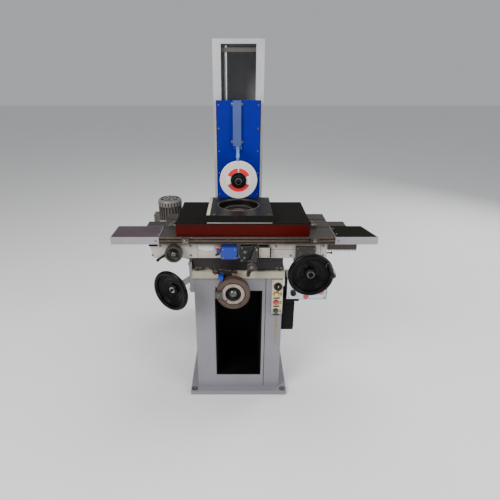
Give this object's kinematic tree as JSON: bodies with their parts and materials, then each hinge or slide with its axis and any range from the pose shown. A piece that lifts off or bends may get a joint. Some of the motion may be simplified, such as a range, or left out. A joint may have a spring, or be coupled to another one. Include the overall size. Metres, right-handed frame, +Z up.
{
  "type": "surface grinder",
  "caption": "Hand and hydraulic surface grinder: cast base and column, cross saddle, long table with magnetic chuck, and a wheelhead that rises on the column.",
  "frame": {"origin": "centre of the foot flange on the floor", "axes": "+X right along the table, +Y to the rear along the cross feed, +Z up"},
  "size_m": [1.248, 1.302, 1.8],
  "materials": {
    "base_paint": "satin",
    "cream_paint": "satin",
    "liner_black": "matte",
    "panel_cream": "satin",
    "column_paint": "painted",
    "cover_paint": "satin",
    "bearing_iron": "machined",
    "bracket_grey": "satin",
    "dark_iron": "painted",
    "box_black": "satin",
    "face_white": "satin",
    "motor_grey": "painted",
    "motor_cover": "painted",
    "carriage_dark": "oiled",
    "saddle_grey": "painted",
    "valve_dark": "oiled",
    "valve_blue": "gloss",
    "switch_beige": "matte",
    "nut_bronze": "machined",
    "table_steel": "ground",
    "rack_steel": "oiled",
    "tray_grey": "painted",
    "chuck_red": "satin",
    "chuck_pole": "ground",
    "clamp_steel": "worn",
    "block_dark": "oiled",
    "head_grey": "machined",
    "apron_blue": "gloss",
    "housing_blue": "painted",
    "bearing_steel": "ground",
    "spindle_motor": "painted",
    "guard_grey": "satin",
    "hose_blue": "satin",
    "spindle_steel": "ground",
    "flange_black": "blackened",
    "abrasive_white": "grainy",
    "wheel_black": "painted",
    "grip_black": "gloss",
    "dial_bronze": "satin",
    "screw_steel": "turned",
    "lever_brown": "worn",
    "knob_olive": "satin",
    "black_plastic": "satin",
    "button_yellow": "gloss",
    "button_red": "gloss",
    "button_green": "gloss"
  },
  "bodies": {
    "frame": {"base_casting": "base_paint", "bed_top": "cream_paint", "cabinet_liner": "liner_black", "button_panel": "panel_cream", "column": "column_paint", "column_rear_cover": "cover_paint", "screw_bearings": "bearing_iron", "elevating_bracket": "bracket_grey", "cross_screw_housing": "dark_iron", "switch_box": "box_black", "switch_box_face": "face_white", "junction_box": "box_black", "pump_shelf": "bracket_grey", "pump_motor": "motor_grey", "pump_motor_cover": "motor_cover"},
    "saddle": {"saddle_carriage": "carriage_dark", "saddle_bed": "saddle_grey", "pinion_housing": "dark_iron", "valve_body": "valve_dark", "solenoid_valve": "valve_blue", "limit_switch": "switch_beige", "cross_nut": "nut_bronze"},
    "table": {"table": "table_steel", "table_rack": "rack_steel", "left_tray": "tray_grey", "right_tray": "tray_grey", "trip_dogs": "clamp_steel", "chuck_body": "chuck_red", "chuck_plate": "chuck_pole", "chuck_clamps": "clamp_steel", "work_block": "block_dark"},
    "head": {"head_carriage": "head_grey", "head_apron": "apron_blue", "spindle_housing": "housing_blue", "spindle_bearings": "bearing_steel", "spindle_motor": "spindle_motor", "elevating_nut": "nut_bronze", "oil_guard": "guard_grey", "oil_line": "hose_blue"},
    "spindle": {"spindle": "spindle_steel", "wheel_flanges": "flange_black", "grinding_wheel": "abrasive_white"},
    "table_wheel": {"table_handwheel": "wheel_black", "table_wheel_shaft": "screw_steel"},
    "crank_grip": {"crank_grip": "grip_black"},
    "cross_feed": {"cross_dial": "dial_bronze", "cross_screw": "screw_steel"},
    "elevating_handwheel": {"elevating_handwheel": "wheel_black"},
    "elevating_shaft": {"elevating_shaft": "screw_steel"},
    "elevating_screw": {"elevating_screw": "screw_steel"},
    "reverse_lever": {"reverse_lever": "lever_brown"},
    "throttle_knob": {"throttle_knob": "knob_olive"},
    "start_lever": {"start_lever": "black_plastic"},
    "fine_feed_lever": {"fine_feed_lever": "lever_brown"},
    "selector_switch": {"selector_switch": "black_plastic"},
    "button_yellow": {"button_yellow": "button_yellow"},
    "button_red": {"button_red": "button_red"},
    "button_green": {"button_green": "button_green"},
    "box_knob": {"box_knob": "black_plastic"}
  },
  "joints": [
    {"name": "saddle_slide", "type": "slide", "parent": "frame", "child": "saddle", "axis": [0, 1, 0], "range_m": [-0.02, 0.22]},
    {"name": "table_slide", "type": "slide", "parent": "saddle", "child": "table", "axis": [1, 0, 0], "range_m": [-0.24, 0.3]},
    {"name": "head_slide", "type": "slide", "parent": "frame", "child": "head", "axis": [0, 0, 1], "range_m": [0, 0.22]},
    {"name": "spindle_spin", "type": "hinge", "parent": "head", "child": "spindle", "pos_m": [0, 0, 1.1335], "axis": [0, 1, 0], "continuous": true},
    {"name": "table_wheel_turn", "type": "hinge", "parent": "saddle", "child": "table_wheel", "pos_m": [0.319, 0, 0.819], "axis": [0, 1, 0], "range_deg": [-495, 618]},
    {"name": "crank_grip_spin", "type": "hinge", "parent": "table_wheel", "child": "crank_grip", "pos_m": [0.39019, 0, 0.87072], "axis": [0, 1, 0], "continuous": true},
    {"name": "cross_feed_turn", "type": "hinge", "parent": "frame", "child": "cross_feed", "pos_m": [-0.025, 0, 0.67], "axis": [0, 1, 0], "range_deg": [-725, 7925]},
    {"name": "elevating_handwheel_turn", "type": "hinge", "parent": "frame", "child": "elevating_handwheel", "pos_m": [-0.32268, -0.56613, 0.682], "axis": [0.5299, 0.848, 0], "range_deg": [-7925, 5]},
    {"name": "elevating_shaft_turn", "type": "hinge", "parent": "frame", "child": "elevating_shaft", "pos_m": [-0.17166, -0.32443, 0.682], "axis": [0.2095, 0.9778, 0], "range_deg": [-7925, 5]},
    {"name": "elevating_screw_turn", "type": "hinge", "parent": "frame", "child": "elevating_screw", "pos_m": [-0.07, 0.15, 0.9], "axis": [0, 0, 1], "range_deg": [-7925, 5]},
    {"name": "reverse_lever_swing", "type": "hinge", "parent": "saddle", "child": "reverse_lever", "pos_m": [0.062, -0.54, 0.8], "axis": [0, 1, 0], "range_deg": [-18, 18]},
    {"name": "throttle_turn", "type": "hinge", "parent": "saddle", "child": "throttle_knob", "pos_m": [-0.304, -0.52, 0.857], "axis": [0, 1, 0], "range_deg": [-135, 135]},
    {"name": "start_lever_swing", "type": "hinge", "parent": "saddle", "child": "start_lever", "pos_m": [-0.304, -0.492, 0.857], "axis": [0, 1, 0], "range_deg": [-25, 35]},
    {"name": "fine_feed_swing", "type": "hinge", "parent": "frame", "child": "fine_feed_lever", "pos_m": [-0.025, -0.515, 0.67], "axis": [0, 1, 0], "range_deg": [-15, 15]},
    {"name": "selector_turn", "type": "hinge", "parent": "frame", "child": "selector_switch", "pos_m": [0.197, -0.49, 0.659], "axis": [0, 1, 0], "range_deg": [-45, 45]},
    {"name": "button_yellow_press", "type": "slide", "parent": "frame", "child": "button_yellow", "axis": [0, 1, 0], "range_m": [0, 0.004], "stiffness_N_per_m": 400},
    {"name": "button_red_press", "type": "slide", "parent": "frame", "child": "button_red", "axis": [0, 1, 0], "range_m": [0, 0.004], "stiffness_N_per_m": 400},
    {"name": "button_green_press", "type": "slide", "parent": "frame", "child": "button_green", "axis": [0, 1, 0], "range_m": [0, 0.004], "stiffness_N_per_m": 400},
    {"name": "box_knob_turn", "type": "hinge", "parent": "frame", "child": "box_knob", "pos_m": [0.274, -0.48, 0.623], "axis": [0, 1, 0], "range_deg": [0, 90]}
  ],
  "couplings": [
    {"joint": "table_wheel_turn", "follows": "table_slide", "rad_per_m": 35.714},
    {"joint": "cross_feed_turn", "follows": "saddle_slide", "rad_per_m": 628.32},
    {"joint": "elevating_handwheel_turn", "follows": "head_slide", "rad_per_m": -628.32},
    {"joint": "elevating_shaft_turn", "follows": "head_slide", "rad_per_m": -628.32},
    {"joint": "elevating_screw_turn", "follows": "head_slide", "rad_per_m": -628.32}
  ]
}
